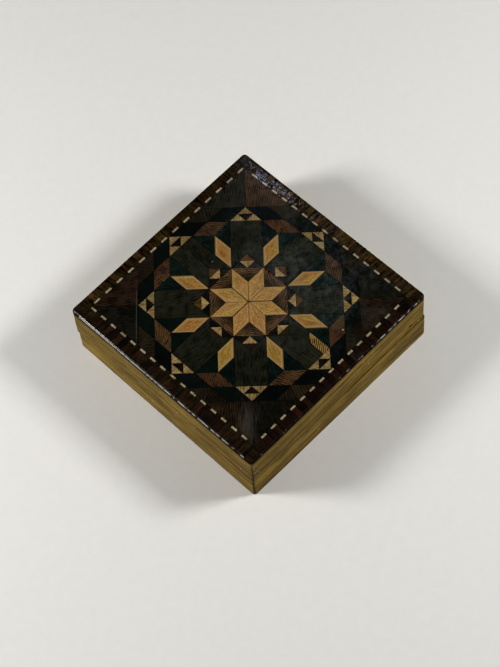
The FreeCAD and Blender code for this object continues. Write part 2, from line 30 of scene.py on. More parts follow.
# %% [markdown]
# ## Small tools
# Colours are easiest to choose as sRGB hex values, the numbers that a picture shows, but the shader
# calculates with linear light. One function turns the first into the second.
# Another adds a node, sets it up and links its inputs, so that a finish reads as a list of steps. Drawing
# the nodes by hand in the editor would do the same, and this way keeps each finish in a few lines.
# Some nodes have several inputs of one name, so theirs go by number. In Map Range, 1 and 2 are the range that
# comes in, and 3 and 4 the range that goes out, which is 0 to 1 where it isn't given. In Mix, 0 is the share
# of the second value. The two values are 6 and 7 for colours, with output 2, and 2 and 3 for plain numbers.


# %% Colour and node tools
def linear(hex_colour):
    """The linear colour of an sRGB hex value."""
    shares = [int(hex_colour[start:start + 2], 16) / 255 for start in (1, 3, 5)]
    lit = (s / 12.92 if s <= 0.04045 else ((s + 0.055) / 1.055) ** 2.4 for s in shares)
    return (*lit, 1.0)


def add(tree, kind, inputs, out=0, **settings):
    """Add one node, feed its inputs with values or links, and return one of its outputs."""
    node = tree.nodes.new("ShaderNode" + kind)
    for name, value in settings.items():
        setattr(node, name, value)
    for socket, value in inputs.items():
        if isinstance(value, bpy.types.NodeSocket):
            tree.links.new(value, node.inputs[socket])
        else:
            node.inputs[socket].default_value = value
    return node.outputs[out] if node.outputs else None


print("mid grey in linear light is", [round(v, 3) for v in linear("#808080")[:3]])


# %% Finish tools
def new_finish(name):
    """An empty material, and its node tree."""
    material = bpy.data.materials.new(name)
    material.use_nodes = True
    material.node_tree.nodes.clear()
    return material, material.node_tree


def put_on(material, *nodes):
    """Give CAD nodes their finish."""
    for node in nodes:
        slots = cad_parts[node].data.materials
        slots.clear()
        slots.append(material)
    print(material.name, "is on", ", ".join(nodes))


print("plain CAD colours to replace:", len(bpy.data.materials))

# %% [markdown]
# ## Where the wood is
# Every finish needs to know where it is on the box. An object's own coordinates are metres from the middle of
# the underside, and they stay with the piece when the lid swings open.
# The lid stands a touch askew on its pivot, as the real one does, so its finishes first turn back by that
# angle about the pivot. They then count millimetres, from the star's middle or from the lid's.

# %% Places on the box
LID_TURN = math.radians(0.45)
PIVOT = Vector((-28.5, -28.5, 0))
STAR = Vector((0.3, -0.125, 0))
QUARTER = math.pi / 2


def box_place(tree):
    """Millimetres from the middle of the underside."""
    metres = add(tree, "TexCoord", {}, "Object")
    return add(tree, "VectorMath", {0: metres, "Scale": MM_PER_M}, operation="SCALE")


def lid_place(tree, middle=STAR, quarters=0):
    """Millimetres from a middle of the lid, square with the lid.

    Quarter turns bring another side to the front."""
    turn = -LID_TURN - quarters * QUARTER
    shift = Matrix.Rotation(-quarters * QUARTER, 3, "Z") @ (PIVOT - middle)
    shift -= Matrix.Rotation(turn, 3, "Z") @ PIVOT
    return add(tree, "Mapping", {
        "Vector": add(tree, "TexCoord", {}, "Object"), "Scale": (MM_PER_M,) * 3,
        "Rotation": (0, 0, turn), "Location": shift,
    })


print("star's middle is", [round(v, 3) for v in STAR[:2]], "mm from the lid's middle")

# %% [markdown]
# ## Telling the pieces apart
# One CAD node holds all the pieces of one wood, such as the eight points of the star. On the real lid each
# was sawn from another spot of the plank, so each has its own grain and tone. Eight materials could give
# that too, but one that counts the pieces is less to look after.
# The angle round the star gives the number of the spoke. Turning each spoke onto the first one gives all
# pieces the same grain direction, and a white noise of the spoke's number gives each its own luck.
# The star is laid out from one module, the edge of its rhombi, which is a touch longer from front to back.


# %% Luck and turns
def luck_of(tree, seed, number, side=0.0):
    """Three random shares for one piece of a wood, as red, green and blue."""
    key = add(tree, "CombineXYZ", {"X": number, "Y": side, "Z": float(seed)})
    return add(tree, "TexWhiteNoise", {"Vector": key}, "Color", noise_dimensions="3D")


def turned_to_first(tree, place, angle, count, offset=0.0):
    """The number of the sector at an angle round the middle, and the place turned onto the first sector.

    Offset turns all the sectors, in shares of a sector."""
    step = 2 * math.pi / count
    steps = add(tree, "Math", {0: angle, 1: 1 / step, 2: 0.5 - offset}, operation="MULTIPLY_ADD")
    whole = add(tree, "Math", {0: steps}, operation="FLOOR")
    number = add(tree, "Math", {0: whole, 1: float(count)}, operation="FLOORED_MODULO")
    turn = add(tree, "Math", {0: number, 1: -step, 2: -offset * step}, operation="MULTIPLY_ADD")
    local = add(tree, "VectorRotate", {"Vector": place, "Angle": turn}, rotation_type="Z_AXIS")
    return number, local


print("a spoke of eight is", 360 / 8, "degrees wide")

# %% Spokes of the star
MODULE_X, MODULE_Y = 6.855, 7.027
MODULE = (MODULE_X + MODULE_Y) / 2


def in_spoke(tree, place, count, offset, split, seed):
    """Place within the spoke, x outwards, and the luck of the piece that is there.

    Nearer than the split, in modules, the pieces left and right of the spoke's middle line differ."""
    x, y = (add(tree, "SeparateXYZ", {0: place}, axis) for axis in "XY")
    # With the longer module evened out, the spokes lie at equal angles.
    even_y = add(tree, "Math", {0: y, 1: MODULE_X / MODULE_Y}, operation="MULTIPLY")
    angle = add(tree, "Math", {0: even_y, 1: x}, operation="ARCTAN2")
    number, local = turned_to_first(tree, place, angle, count, offset)
    outwards, sideways = (add(tree, "SeparateXYZ", {0: local}, axis) for axis in "XY")
    side = add(tree, "Math", {0: sideways}, operation="SIGN")
    below = add(tree, "Math", {0: outwards, 1: split * MODULE}, operation="LESS_THAN")
    side = add(tree, "Math", {0: side, 1: below}, operation="MULTIPLY")
    return local, luck_of(tree, seed, number, side)


print("one module is", round(MODULE, 2), "mm")

# %% [markdown]
# ## How wood looks
# Wood is a bundle of fibres. Along the grain hardly anything changes, and across it pale early wood and dark
# late wood follow each other every half to two millimetres. So the noise is stretched along the grain. A
# photograph of a plank would show the same, but it would repeat, and it would not be any of these planks.
# Three layers are enough: growth lines, which wander; fibres, about 0.1 mm wide in life and drawn 0.3 mm wide
# here, because finer ones would not show; and slow clouds, where the wood took up more or less oil.
# A noise keeps mostly between 0.3 and 0.7. So a Map Range that takes in 0.4 to 0.6 spreads it from none to
# all, and one that starts near 0.75 leaves only its highest crests.

# %% Fibres and clouds
# Sizes in millimetres along x, y and z. The last is how far apart in the plank two pieces may have been sawn.
FIBRE, CLOUD, PLANK = (2.5, 0.3, 0.3), 3, (173, 211, 97)
SWING = 0.25


def streaky(tree, place, sizes, detail, roughness=0.5):
    """Noise stretched to streaks of these sizes, from 0 to 1."""
    per_size = tuple(1 / size for size in sizes)
    stretched = add(tree, "VectorMath", {0: place, 1: per_size}, operation="MULTIPLY")
    return add(tree, "TexNoise", {
        "Vector": stretched, "Scale": 1.0, "Detail": detail, "Roughness": roughness,
    }, "Fac")


def fibres_and_clouds(tree, place, luck, direction, swing=SWING):
    """The piece's spot in the plank, with x along the grain, and its fibres and clouds, each from 0 to 1.

    The grain lies in the direction, give or take the swing, in radians."""
    share = add(tree, "SeparateColor", {0: luck}, "Red")
    turn = add(tree, "Math", {0: share, 1: 2 * swing, 2: -direction - swing}, operation="MULTIPLY_ADD")
    turned = add(tree, "VectorRotate", {"Vector": place, "Angle": turn}, rotation_type="Z_AXIS")
    sawn = add(tree, "VectorMath", {0: luck, 1: PLANK, 2: turned}, operation="MULTIPLY_ADD")
    clouds = add(tree, "TexNoise", {
        "Vector": sawn, "Scale": 1 / CLOUD, "Detail": 4.0, "Roughness": 0.6,
    }, "Fac")
    return sawn, streaky(tree, sawn, FIBRE, detail=3.0), clouds


print("fibres are drawn", FIBRE[0], "mm long and", FIBRE[1], "mm wide")


# %% Grain
def grain(tree, place, luck, lines, wander, direction, swing=SWING):
    """Growth lines, fibres and clouds. Lines is the spacing of the growth lines in millimetres."""
    sawn, fibres, clouds = fibres_and_clouds(tree, place, luck, direction, swing)
    # A wave repeats every pi / 10 units, so this scale gives one line per spacing.
    growth = add(tree, "TexWave", {
        "Vector": sawn, "Scale": math.pi / 10 / lines, "Distortion": wander, "Detail": 4.0,
        "Detail Scale": 0.7 / lines, "Detail Roughness": 0.65,
    }, "Fac", bands_direction="Y")
    return growth, fibres, clouds


print("grain turns by up to", round(math.degrees(SWING), 1), "degrees from piece to piece")

# %% Stain
CLOUD_SHARE, FIBRE_SHARE, LINE_SHARE = 1.1, 0.9, 0.6
# An even wood lies here between pale and dark. Each noise is about a half, so half its share is taken off.
EVEN = 0.55
HUE_SWING = 0.012


def stained(tree, layers, luck, pale, dark, figure, contrast, spread):
    """The wood's colour: pale and dark by its grain, lighter or darker by the piece's luck.

    Figure is how much the growth lines count, contrast drives pale and dark apart, and spread is how much
    lighter or darker a piece may be."""
    growth, fibres, clouds = layers
    base = EVEN - (CLOUD_SHARE + FIBRE_SHARE) / 2
    plain = add(tree, "Math", {0: clouds, 1: CLOUD_SHARE, 2: base}, operation="MULTIPLY_ADD")
    plain = add(tree, "Math", {0: fibres, 1: FIBRE_SHARE, 2: plain}, operation="MULTIPLY_ADD")
    lined = add(tree, "Math", {0: growth, 1: LINE_SHARE, 2: plain}, operation="MULTIPLY_ADD")
    lined = add(tree, "Math", {0: lined, 1: LINE_SHARE / 2}, operation="SUBTRACT")
    share = add(tree, "Mix", {0: figure, 2: plain, 3: lined}, 0, data_type="FLOAT")
    share = add(tree, "MapRange", {"Value": share, 1: EVEN - 0.5 / contrast, 2: EVEN + 0.5 / contrast})
    colour = add(tree, "Mix", {0: share, 6: linear(pale), 7: linear(dark)}, 2, data_type="RGBA")
    tone = add(tree, "SeparateColor", {0: luck}, "Green")
    tone = add(tree, "MapRange", {"Value": tone, 3: 1 - spread, 4: 1 + spread})
    # A hue of 0.5 leaves a colour as it is.
    warmth = add(tree, "SeparateColor", {0: luck}, "Blue")
    warmth = add(tree, "MapRange", {"Value": warmth, 3: 0.5 - HUE_SWING, 4: 0.5 + HUE_SWING})
    return add(tree, "HueSaturation", {"Hue": warmth, "Value": tone, "Color": colour})


print("an even wood is", EVEN, "of the way from pale to dark")

# %% [markdown]
# ## Age, and a painted sheen
# A century of hands has left marks that run over many pieces: a blotchy grey bloom in the polish round the
# right-hand panel, which is also a painted sheen of reflected light, a scuffed front corner, hairline
# scratches, one joint that has opened, and a few specks of filler. They could be painted on an image, but
# noise needs no image and is as sharp from near as from far.
# All of them come from the place on the lid, so that neighbouring pieces share them, as on a real lid.

# %% Bloom and painted sheen
LID_TOP = 23.0
BLOOM_AND_SHEEN_SPOT = (16.0, -6.0, LID_TOP)
BLOOM_AND_SHEEN_PATCH, BLOOM_AND_SHEEN_CRUMB = 7, 1.8


def bloom_and_sheen(tree, colour, place):
    """Grey bloom, with a painted sheen of reflected light, that thins out round its spot, ragged by patches
    and broken into crumbs.
    """
    reach = add(tree, "VectorMath", {0: place, 1: BLOOM_AND_SHEEN_SPOT}, "Value", operation="DISTANCE")
    patches = add(tree, "TexNoise", {
        "Vector": place, "Scale": 1 / BLOOM_AND_SHEEN_PATCH, "Detail": 6.0, "Roughness": 0.7,
    }, "Fac")
    reach = add(tree, "Math", {0: patches, 1: 90.0, 2: reach}, operation="MULTIPLY_ADD")
    faint = {"Value": reach, 1: 40.0, 2: 78.0, 3: 0.09, 4: 0.0}
    bloom_and_sheen_share = add(tree, "MapRange", faint, interpolation_type="SMOOTHSTEP")
    crumbs = add(tree, "TexNoise", {
        "Vector": place, "Scale": 1 / BLOOM_AND_SHEEN_CRUMB, "Detail": 4.0, "Roughness": 0.7,
    }, "Fac")
    crumbs = add(tree, "MapRange", {"Value": crumbs, 1: 0.42, 2: 0.64, 3: 0.2, 4: 3.2})
    bloom_and_sheen_share = add(tree, "Math", {0: bloom_and_sheen_share, 1: crumbs}, operation="MULTIPLY")
    # The blue grey is partly bloom and partly a painted sheen of reflected light.
    return add(tree, "Mix", {0: bloom_and_sheen_share, 6: colour, 7: linear("#585E5E")}, 2, data_type="RGBA")


print("the bloom lies round", BLOOM_AND_SHEEN_SPOT[:2], "mm from the star's middle")

# %% Scuff and scratches
CORNER_TURN = math.pi / 4
# From the star's middle with y towards the back corner, and half of the patch's width and length.
SCUFF_SPOT, SCUFF_HALF = (-1.0, -41.0), (3, 6.5)
# Scratches are about 0.05 mm wide and are drawn 0.15 mm wide, so that they show. They slant by 0.9 radians.
FRAY, SCRATCH, SCRATCH_SLANT = (0.6, 5, 1), (14, 0.15, 1), 0.9


def scuffed(tree, colour, place):
    """A frayed grey patch, about 10 mm long, at the front corner."""
    corner = add(tree, "VectorRotate", {"Vector": place, "Angle": CORNER_TURN}, rotation_type="Z_AXIS")
    patch = add(tree, "Mapping", {
        "Vector": corner, "Scale": (1 / SCUFF_HALF[0], 1 / SCUFF_HALF[1], 0),
        "Location": (-SCUFF_SPOT[0] / SCUFF_HALF[0], -SCUFF_SPOT[1] / SCUFF_HALF[1], 0),
    })
    patch = add(tree, "VectorMath", {0: patch}, "Value", operation="LENGTH")
    frayed = streaky(tree, corner, FRAY, detail=3.0, roughness=0.7)
    patch = add(tree, "Math", {0: frayed, 1: 4.0, 2: patch}, operation="MULTIPLY_ADD")
    scuff = add(tree, "MapRange", {"Value": patch, 1: 1.6, 2: 3.2, 3: 0.1, 4: 0.0})
    return add(tree, "Mix", {0: scuff, 6: colour, 7: linear("#8C8A80")}, 2, data_type="RGBA")


def scratched(tree, colour, place):
    """Hairlines, most of them broken."""
    slanted = add(tree, "VectorRotate", {"Vector": place, "Angle": SCRATCH_SLANT}, rotation_type="Z_AXIS")
    hairs = streaky(tree, slanted, SCRATCH, detail=1.0)
    scratch = add(tree, "MapRange", {"Value": hairs, 1: 0.76, 2: 0.82, 4: 0.12})
    return add(tree, "Mix", {0: scratch, 6: colour, 7: linear("#8C8878")}, 2, data_type="RGBA")


print("scratches are drawn", SCRATCH[0], "mm long and", SCRATCH[1], "mm wide")

# %% Open joint and specks
# The middle of the open joint, from the star's middle with y towards the back corner.
JOINT_SPOT = (-34.05, -3.4)
SPECK_SPACING = 17


def off_line(tree, measure, line):
    """How far a measure is from a line, in millimetres."""
    off = add(tree, "Math", {0: measure, 1: line}, operation="SUBTRACT")
    return add(tree, "Math", {0: off}, operation="ABSOLUTE")


def joint_opened(tree, colour, place):
    """A pale line, 0.2 mm wide and 18 mm long, where a joint near the left corner has opened."""
    corner = add(tree, "VectorRotate", {"Vector": place, "Angle": CORNER_TURN}, rotation_type="Z_AXIS")
    x, y = (add(tree, "SeparateXYZ", {0: corner}, axis) for axis in "XY")
    aside, along = off_line(tree, x, JOINT_SPOT[0]), off_line(tree, y, JOINT_SPOT[1])
    aside = add(tree, "MapRange", {"Value": aside, 1: 0.05, 2: 0.16, 3: 0.12, 4: 0.0})
    along = add(tree, "MapRange", {"Value": along, 1: 7.0, 2: 10.0, 3: 1.0, 4: 0.0})
    line = add(tree, "Math", {0: aside, 1: along}, operation="MULTIPLY")
    return add(tree, "Mix", {0: line, 6: colour, 7: linear("#8A948C")}, 2, data_type="RGBA")


def specked(tree, colour, place):
    """Specks of filler, about 0.6 mm wide."""
    dots = add(tree, "TexVoronoi", {"Vector": place, "Scale": 1 / SPECK_SPACING}, "Distance")
    speck = add(tree, "MapRange", {"Value": dots, 1: 0.012, 2: 0.022, 3: 0.7, 4: 0.0})
    return add(tree, "Mix", {0: speck, 6: colour, 7: linear("#A8A596")}, 2, data_type="RGBA")


def aged(tree, colour, place):
    """All the marks that run over the whole lid."""
    for mark in (bloom_and_sheen, scuffed, scratched, joint_opened, specked):
        colour = mark(tree, colour, place)
    return colour


print("specks are about", SPECK_SPACING, "mm apart")

# %% [markdown]
# ## Polish
# The lid was french polished: a thin clear film on the wood, smooth but not flat. A film of shellac has an
# index of refraction of about 1.5, and wood one of about 1.45. The Principled shader's coat is such a film,
# so no second layer of mesh is needed. Old shellac shrinks into a skin of fine dimples, which breaks long
# reflections into crumbs. The skin is a bump, because it is far too shallow to show at the outline.
# A parquetry wood then puts all of this together, for the pieces that lie round the star.

# %% Polish
WOOD_IOR, SHELLAC_IOR = 1.45, 1.5
DULL_PATCH, DIMPLE = 5, 1.2


def polished(tree, colour, fibres, place, *, unevenness, film, softness, shine):
    """Finish a wood: its colour under a thin uneven film.

    Unevenness is in millimetres, film is the share of polish that is left, softness is the film's roughness,
    and shine is the gleam of the wood below it."""
    dull = add(tree, "TexNoise", {
        "Vector": place, "Scale": 1 / DULL_PATCH, "Detail": 4.0, "Roughness": 0.65,
    }, "Fac")
    roughness = add(tree, "MapRange", {"Value": dull, 1: 0.3, 2: 0.7, 3: 0.15, 4: 0.28})
    peel = add(tree, "TexNoise", {"Vector": place, "Scale": 1 / DIMPLE, "Detail": 1.0}, "Fac")
    height = add(tree, "Math", {0: fibres, 1: 0.1, 2: peel}, operation="MULTIPLY_ADD")
    cracked = add(tree, "MapRange", {"Value": dull, 1: 0.35, 2: 0.65, 3: 0.2, 4: 1.0})
    normal = add(tree, "Bump", {"Height": height, "Strength": cracked, "Distance": unevenness / MM_PER_M})
    shader = add(tree, "BsdfPrincipled", {
        "Base Color": colour, "Roughness": roughness, "IOR": WOOD_IOR, "Specular IOR Level": shine,
        "Normal": normal, "Coat Weight": film, "Coat Roughness": softness, "Coat IOR": SHELLAC_IOR,
        "Coat Normal": normal,
    })
    add(tree, "OutputMaterial", {"Surface": shader})


print("the film's index is", SHELLAC_IOR, "and the wood's", WOOD_IOR)


# %% Veneer
def veneer(
    name, pale, dark, *, lines, seed, figure, contrast, spread, wander=3.0, direction=0.0, count=8,
    offset=0.0, split=0.0, worn=None,
):
    """A parquetry wood with its own luck for each piece.

    Count, offset and split tell its spokes, and worn changes the colour within a spoke."""
    material, tree = new_finish(name)
    place = lid_place(tree)
    local, luck = in_spoke(tree, place, count, offset, split, seed)
    layers = grain(tree, local, luck, lines, wander, direction)
    _, fibres, clouds = layers
    colour = stained(tree, layers, luck, pale, dark, figure, contrast, spread)
    if worn:
        colour = worn(tree, colour, local, clouds)
    colour = aged(tree, colour, place)
    polished(tree, colour, fibres, place, unevenness=0.012, film=0.08, softness=0.05, shine=0.15)
    return material


print("pieces that wait for a finish:", len(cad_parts))

# %% [markdown]
# ## The star
# The star and the small pale pieces are boxwood: even, close grained, cream when new and honey brown now. The
# outer points are satinwood, which is more golden. Both are long rhombi. Dirt has filled their pores, a cloth
# has rubbed the polish thin along their edges, which leaves a paler rim, and dirt has collected in the joint
# itself. The distance from a rhombus's middle gives all of its edges at once, so no edge has to be marked.
# Pores are about 0.05 mm wide in life, and are drawn 0.5 mm wide to show.


# %% Open joints of the star
def opened(tree, colour, joint, clouds):
    """Darken one joint of the star, numbered in eighths of a turn from the x axis."""
    way = -joint * math.pi / 4
    turned = add(tree, "VectorRotate", {"Vector": lid_place(tree), "Angle": way}, rotation_type="Z_AXIS")
    outwards, sideways = (add(tree, "SeparateXYZ", {0: turned}, axis) for axis in "XY")
    aside = add(tree, "Math", {0: sideways}, operation="ABSOLUTE")
    ragged = add(tree, "Math", {0: clouds, 1: 0.3, 2: aside}, operation="MULTIPLY_ADD")
    # Past the star's middle the same line is another joint, and that one is closed.
    past = add(tree, "Math", {0: outwards, 1: 0.0}, operation="LESS_THAN")
    ragged = add(tree, "Math", {0: ragged, 1: past}, operation="ADD")
    crack = add(tree, "MapRange", {"Value": ragged, 1: 0.25, 2: 0.42, 3: 0.85, 4: 0.0})
    return add(tree, "Mix", {0: crack, 6: colour, 7: linear("#2A1C0C")}, 2, data_type="RGBA")


print("a joint between two points is one module long:", round(MODULE, 2), "mm")

# %% Wear on a rhombus
# Half the long and the short diagonal of a rhombus, in modules.
LONG_HALF, SHORT_HALF = math.cos(math.pi / 8), math.sin(math.pi / 8)
PORE = 0.5


def rubbed_rhombus(middle, rim_colour, rim_share, open_joints=()):
    """Pores, a paler rim and a dirty joint for a rhombus whose middle is so many modules out."""
    def worn(tree, colour, local, clouds):
        pores = add(tree, "TexNoise", {"Vector": lid_place(tree), "Scale": 1 / PORE, "Detail": 2.0}, "Fac")
        pores = add(tree, "MapRange", {"Value": pores, 1: 0.48, 2: 0.64, 4: 0.7})
        colour = add(tree, "Mix", {0: pores, 6: colour, 7: linear("#5E4218")}, 2, data_type="RGBA")
        # Reach is 0 in the middle and 1 along all four edges.
        x, y = (add(tree, "SeparateXYZ", {0: local}, axis) for axis in "XY")
        off_middle = off_line(tree, x, middle * MODULE)
        across = add(tree, "Math", {0: y}, operation="ABSOLUTE")
        slope = LONG_HALF / SHORT_HALF
        reach = add(tree, "Math", {0: across, 1: slope, 2: off_middle}, operation="MULTIPLY_ADD")
        reach = add(tree, "Math", {0: reach, 1: 1 / (LONG_HALF * MODULE)}, operation="MULTIPLY")
        ragged = add(tree, "Math", {0: clouds, 1: 0.3, 2: reach}, operation="MULTIPLY_ADD")
        rim = add(tree, "MapRange", {
            "Value": ragged, 1: 0.7, 2: 1.1, 4: rim_share,
        }, interpolation_type="SMOOTHSTEP")
        colour = add(tree, "Mix", {0: rim, 6: colour, 7: linear(rim_colour)}, 2, data_type="RGBA")
        dirt = add(tree, "MapRange", {"Value": reach, 1: 0.94, 2: 0.985, 4: 0.65})
        colour = add(tree, "Mix", {0: dirt, 6: colour, 7: linear("#3A2810")}, 2, data_type="RGBA")
        for joint in open_joints:
            colour = opened(tree, colour, joint, clouds)
        return colour
    return worn


rhombus = [round(2 * half * MODULE, 2) for half in (LONG_HALF, SHORT_HALF)]
print("a rhombus is", rhombus[0], "mm long and", rhombus[1], "mm wide")

# %% Boxwood and satinwood
# Boxwood hardly shows its growth lines, so the eye gets an even honey tone, freckled by the pores.
star_wear = rubbed_rhombus(LONG_HALF, "#AC8C58", rim_share=0.35, open_joints=(2, 4, 7))
put_on(veneer(
    "aged boxwood star", "#B88F50", "#7A5828", lines=0.8, figure=0.3, contrast=1.5, offset=0.5, seed=3,
    spread=0.06, worn=star_wear,
), "star_points")
# Satinwood is more golden, and its rubbed rim is the most marked.
point_wear = rubbed_rhombus(3 * LONG_HALF, "#A4885A", rim_share=0.6)
put_on(veneer(
    "satinwood", "#A8803E", "#6E4C1A", lines=1.0, figure=0.3, contrast=1.5, offset=0.5, seed=11, spread=0.06,
    worn=point_wear,
), "outer_points")
# The smaller pieces were cut from paler and from browner boxwood, with clouds that show more.
put_on(veneer(
    "aged boxwood squares", "#A68A5A", "#66502C", lines=1.0, figure=0.3, contrast=2.0, seed=5, spread=0.1,
), "small_square_light")
put_on(veneer(
    "aged boxwood triangles", "#967E50", "#4E3C1E", lines=0.9, figure=0.35, contrast=1.8, split=4.475, seed=7,
    spread=0.2,
), "edge_triangles_light")

# %% [markdown]
# ## Rosewood and walnut
# These woods show dark curved lines on red brown, because the saw met their growth rings at a slant. So their
# growth lines wander more and count for more.
# The notches between the star's points are nearly black towards the middle, where the pieces were shaded in
# hot sand before they were glued down. Three of the brown half squares are burnt dark as well, and the corner
# at the back is painted lighter: it has faded where the light fell for years, and the lightening also paints
# a sheen of the polish there. Each is a shade that follows the place on the lid.

# %% Shaded, burnt, and faded with a painted sheen
TO_BACK = (1.0, 1.0, 0.0)
# How far out a notch is black and where it is clear, in modules, and how ragged the shade is, in millimetres.
BLACK_REACH, CLEAR_REACH, RAGGED = 1.2, 1.55, 3.0


def sand_shaded(tree, colour, local, clouds):
    """Darken a notch towards its inner tip."""
    outwards = add(tree, "SeparateXYZ", {0: local}, "X")
    ragged = add(tree, "Math", {0: clouds, 1: RAGGED, 2: outwards}, operation="MULTIPLY_ADD")
    # The clouds are about a half, so the shade is moved out by half of the raggedness.
    black, clear = (reach * MODULE + RAGGED / 2 for reach in (BLACK_REACH, CLEAR_REACH))
    shade = add(tree, "MapRange", {"Value": ragged, 1: black, 2: clear, 3: 0.85, 4: 0.0})
    return add(tree, "Mix", {0: shade, 6: colour, 7: linear("#100F08")}, 2, data_type="RGBA")


def burnt_in_front(tree, colour, local, clouds):
    """Darken the three half squares that face the front corner."""
    back = add(tree, "VectorMath", {0: lid_place(tree), 1: TO_BACK}, "Value", operation="DOT_PRODUCT")
    shade = add(tree, "MapRange", {"Value": back, 1: -12.0, 2: -4.0, 3: 0.85, 4: 0.0})
    return add(tree, "Mix", {0: shade, 6: colour, 7: linear("#120E08")}, 2, data_type="RGBA")


def faded_with_sheen_behind(tree, colour, local, clouds):
    """Lighten the corner at the back: fading, and a painted sheen of the polish."""
    back = add(tree, "VectorMath", {0: lid_place(tree), 1: TO_BACK}, "Value", operation="DOT_PRODUCT")
    # Lighter towards the back: partly fading, partly a painted sheen.
    fade_and_sheen = add(tree, "MapRange", {"Value": back, 1: 15.0, 2: 60.0, 3: 1.0, 4: 2.6})
    return add(tree, "HueSaturation", {"Saturation": 0.85, "Value": fade_and_sheen, "Color": colour})


print("notches are black as far as", round(BLACK_REACH * MODULE, 2), "mm from the star's middle")

# %% Figured brown woods
# Rosewood gives the eye strong dark lines that swing across a mid brown.
put_on(veneer(
    "rosewood notches", "#604628", "#120C07", lines=0.7, wander=6.0, figure=0.7, contrast=2.0, direction=1.3,
    seed=13, spread=0.12, worn=sand_shaded,
), "star_notches")
put_on(veneer(
    "rosewood squares", "#5C3E1C", "#1C1208", lines=0.7, figure=0.7, contrast=1.6, direction=0.8, seed=17,
    spread=0.25, worn=burnt_in_front,
), "small_square_brown")
put_on(veneer(
    "rosewood ring", "#4E3620", "#0E0905", lines=0.65, wander=7.0, figure=0.65, contrast=2.0, direction=0.9,
    offset=0.5, seed=19, spread=0.22,
), "ring_rhombi")
# Stained walnut is a dim red brown with soft lines.
put_on(veneer(
    "red walnut", "#291B0A", "#080401", lines=0.7, wander=7.0, figure=0.6, contrast=2.0, count=4, offset=0.5,
    seed=23, spread=0.15, worn=faded_with_sheen_behind,
), "corner_triangles_red")
# Wenge is nearly black, with straight brown lines.
put_on(veneer(
    "wenge", "#211B10", "#090704", lines=0.9, figure=0.6, contrast=1.5, offset=0.5, seed=29, spread=0.4,
), "gap_rhombi")

# %% [markdown]
# ## The dark ground
# The panels are bog oak, brown black with a green cast, and so are half of the corner triangles, which are
# painted lighter at the back like the red ones, for fading and for a sheen of the polish. The triangles
# beside the outer points are pear wood dyed blue green, and the black pieces are pear wood dyed with iron and
# logwood. A flat black would do from far away, but the grain keeps these pieces from looking like holes.

# %% Dark woods
# A split this far out, in modules, gives every piece beside a spoke its own luck.
ALL_SPLIT = 99
# Bog oak shows pale and dark clouds and hardly any lines.
put_on(veneer(
    "bog oak panels", "#212216", "#080804", lines=1.0, figure=0.2, contrast=2.0, seed=31, spread=0.2,
), "panels")
put_on(veneer(
    "bog oak corners", "#18170D", "#040402", lines=0.8, figure=0.3, contrast=2.2, count=4, offset=0.5,
    seed=37, spread=0.2, worn=faded_with_sheen_behind,
), "corner_triangles_olive")
# Pear is so close grained that the dye covers it, and the eye gets only its tint.
pear = dict(figure=0.3, contrast=1.5, split=ALL_SPLIT)
teal = veneer("teal pear", "#0C1A15", "#020504", lines=1.0, seed=41, spread=0.4, **pear)
black = veneer("black pear", "#080E0B", "#020403", lines=1.0, seed=43, spread=0.4, **pear)
brown_black = veneer("brown black pear", "#12100A", "#050403", lines=0.8, seed=45, spread=0.3, **pear)
put_on(teal, "flank_triangles")
put_on(black, "dark_rhombi")
put_on(brown_black, "square_flanks", "edge_triangles_dark")

# %% [markdown]
# ## The odd patch
# One panel has been mended with a slip of zebra wood: straw yellow with thin dark stripes across the slip. It
# needs no tool of its own, because growth lines that hardly wander and count for everything are stripes.

# %% Zebra wood
ACROSS_SLIP = -math.pi / 4
put_on(veneer(
    "zebra wood", "#96733E", "#2A1C0C", lines=0.6, wander=1.0, figure=1.0, contrast=2.2,
    direction=ACROSS_SLIP, seed=47, spread=0.05,
), "panel_patch")

# %% [markdown]
# ## Stringing and border
# The dashed line is holly, now ivory, with dyed pear between. The border blocks are kingwood and dyed pear
# with the grain running out to the edge. One finish could serve all four sides, but on the real lid each side
# was laid out, polished and worn by itself, so each gets its own. The back and right sides are the more faded
# ones, and the polish on the front is the most cracked.
# A row first says, in millimetres, where along its side the first pale block starts, how long one block is,
# and where across it the dashed line lies. Then come the pale tones of the brown and the black blocks, and
# the polish: its unevenness, how much of the film is left, and how soft its gleam is. Last come the places
# along the side where the painted highlight on the rounded edge is strongest and faintest, and how far in
# from the rim the polish has gone, where less than nothing means not at all.

# %% Border layout
ROWS = {
    "front": dict(first=-30.05, block=2.069, middle=-34.475, brown="#200F07", black="#190E06",
                  unevenness=0.07, film=0.8, softness=0.1, edge_highlight_ends=(62, 0), bare_rim=-1.0),
    "right": dict(first=-31.5, block=2.141, middle=-33.825, brown="#3C2A12", black="#34260F",
                  unevenness=0.05, film=0.7, softness=0.05, edge_highlight_ends=(-45, -20), bare_rim=1.3),
    "back": dict(first=-33.5, block=2.413, middle=-34.225, brown="#3C2A10", black="#2A1E0A",
                 unevenness=0.03, film=0.15, softness=0.1, edge_highlight_ends=(45, 20), bare_rim=-1.0),
    "left": dict(first=-33.85, block=2.115, middle=-33.225, brown="#28190A", black="#1E1408",
                 unevenness=0.02, film=1.0, softness=0.15, edge_highlight_ends=(-38, 80), bare_rim=-1.0),
}
CORNERS = dict(first=0.0, block=20.0, middle=-34.0, brown="#261B0E",
               unevenness=0.04, film=0.25, softness=0.1, edge_highlight_ends=(60, 40), bare_rim=-1.0)
for side, row in ROWS.items():
    print("blocks of the", side, "are", row["block"], "mm long")

# %% Dirt and a painted highlight on the rows
HALF_SIDE, HALF_LINE = 38.0, 0.42
EDGE = LID_TOP - 0.5
HIGHLIGHT_CRUMB = 1.5


